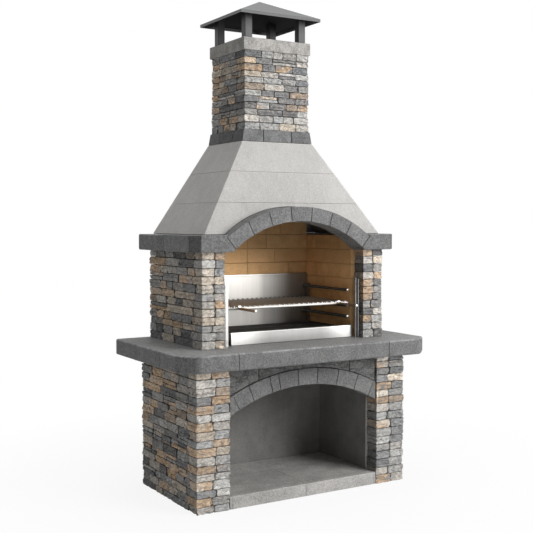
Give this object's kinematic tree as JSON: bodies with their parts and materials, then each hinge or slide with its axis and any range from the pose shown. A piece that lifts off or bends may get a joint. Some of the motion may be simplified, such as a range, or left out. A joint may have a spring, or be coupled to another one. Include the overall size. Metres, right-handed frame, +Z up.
{
  "type": "masonry barbecue",
  "caption": "Stone-faced masonry barbecue with a storage arch, worktop, firebrick fire chamber, ember tray, sliding cooking grid, hood and chimney with a metal cap.",
  "frame": {"origin": "on the ground, under the middle of the worktop's outline", "axes": "+X across the front to the right as seen from the front, +Y to the back, +Z up"},
  "size_m": [1.62, 0.916, 2.829],
  "materials": {
    "ledge_stone": "split-faced, in greys, cream and tan",
    "dark_precast": "matt, finely speckled",
    "pale_concrete": "matt, lightly mottled",
    "grey_concrete": "smooth, matt",
    "block": "plain, matt",
    "firebrick": "matt, tan",
    "cap_metal": "satin dark grey",
    "stainless": "brushed, bright",
    "dark_steel": "darkened by heat",
    "bright_caps": "polished",
    "grate_iron": "rough, dark"
  },
  "bodies": {
    "masonry": {"base_wall_left": "block", "base_wall_right": "block", "base_back_wall": "block", "base_stone_left": "ledge_stone", "base_stone_right": "ledge_stone", "floor_slab": "grey_concrete", "base_lining_left": "grey_concrete", "base_lining_right": "grey_concrete", "base_lining_back": "grey_concrete", "lower_arch": "dark_precast", "lower_spandrels": "dark_precast", "worktop_corner_left": "dark_precast", "worktop_corner_right": "dark_precast", "worktop_front": "dark_precast", "worktop_side_left": "dark_precast", "worktop_side_right": "dark_precast", "hearth_slab": "dark_precast", "chamber_wall_left": "block", "chamber_wall_right": "block", "chamber_back_wall": "block", "chamber_stone_left": "ledge_stone", "chamber_stone_right": "ledge_stone", "firebrick_left": "firebrick", "firebrick_right": "firebrick", "firebrick_back": "firebrick", "mantel_corner_left": "dark_precast", "mantel_corner_right": "dark_precast", "mantel_side_left": "dark_precast", "mantel_side_right": "dark_precast", "mantel_back": "dark_precast", "mantel_arch": "dark_precast", "hood_lower": "pale_concrete", "hood_middle": "pale_concrete", "hood_upper": "pale_concrete", "collar_tiles": "dark_precast", "stack_core": "block", "stack_stone": "ledge_stone", "chimney_crown": "pale_concrete", "cap_posts": "cap_metal", "cap_roof": "cap_metal", "back_shield": "stainless", "guide_left": "stainless", "guide_right": "stainless", "frame_post_left": "dark_steel", "frame_post_right": "dark_steel", "rungs_left": "dark_steel", "rungs_right": "dark_steel", "rung_caps_left": "bright_caps", "rung_caps_right": "bright_caps"},
    "ember_tray": {"tray_fascia": "stainless", "tray_pan": "stainless", "tray_walls": "stainless"},
    "charcoal_grate": {"charcoal_grate": "grate_iron"},
    "cooking_grid": {"grid_frame": "stainless", "grid_bars": "stainless", "handle_rods": "dark_steel", "handle_caps": "bright_caps"}
  },
  "joints": [
    {"name": "tray_slide", "type": "slide", "parent": "masonry", "child": "ember_tray", "axis": [0, -1, 0], "range_m": [0, 0.35]},
    {"name": "grate_lift", "type": "slide", "parent": "ember_tray", "child": "charcoal_grate", "axis": [0, 0, 1], "range_m": [0, 0.05]},
    {"name": "grid_slide", "type": "slide", "parent": "masonry", "child": "cooking_grid", "axis": [0, -1, 0], "range_m": [0, 0.2]}
  ]
}
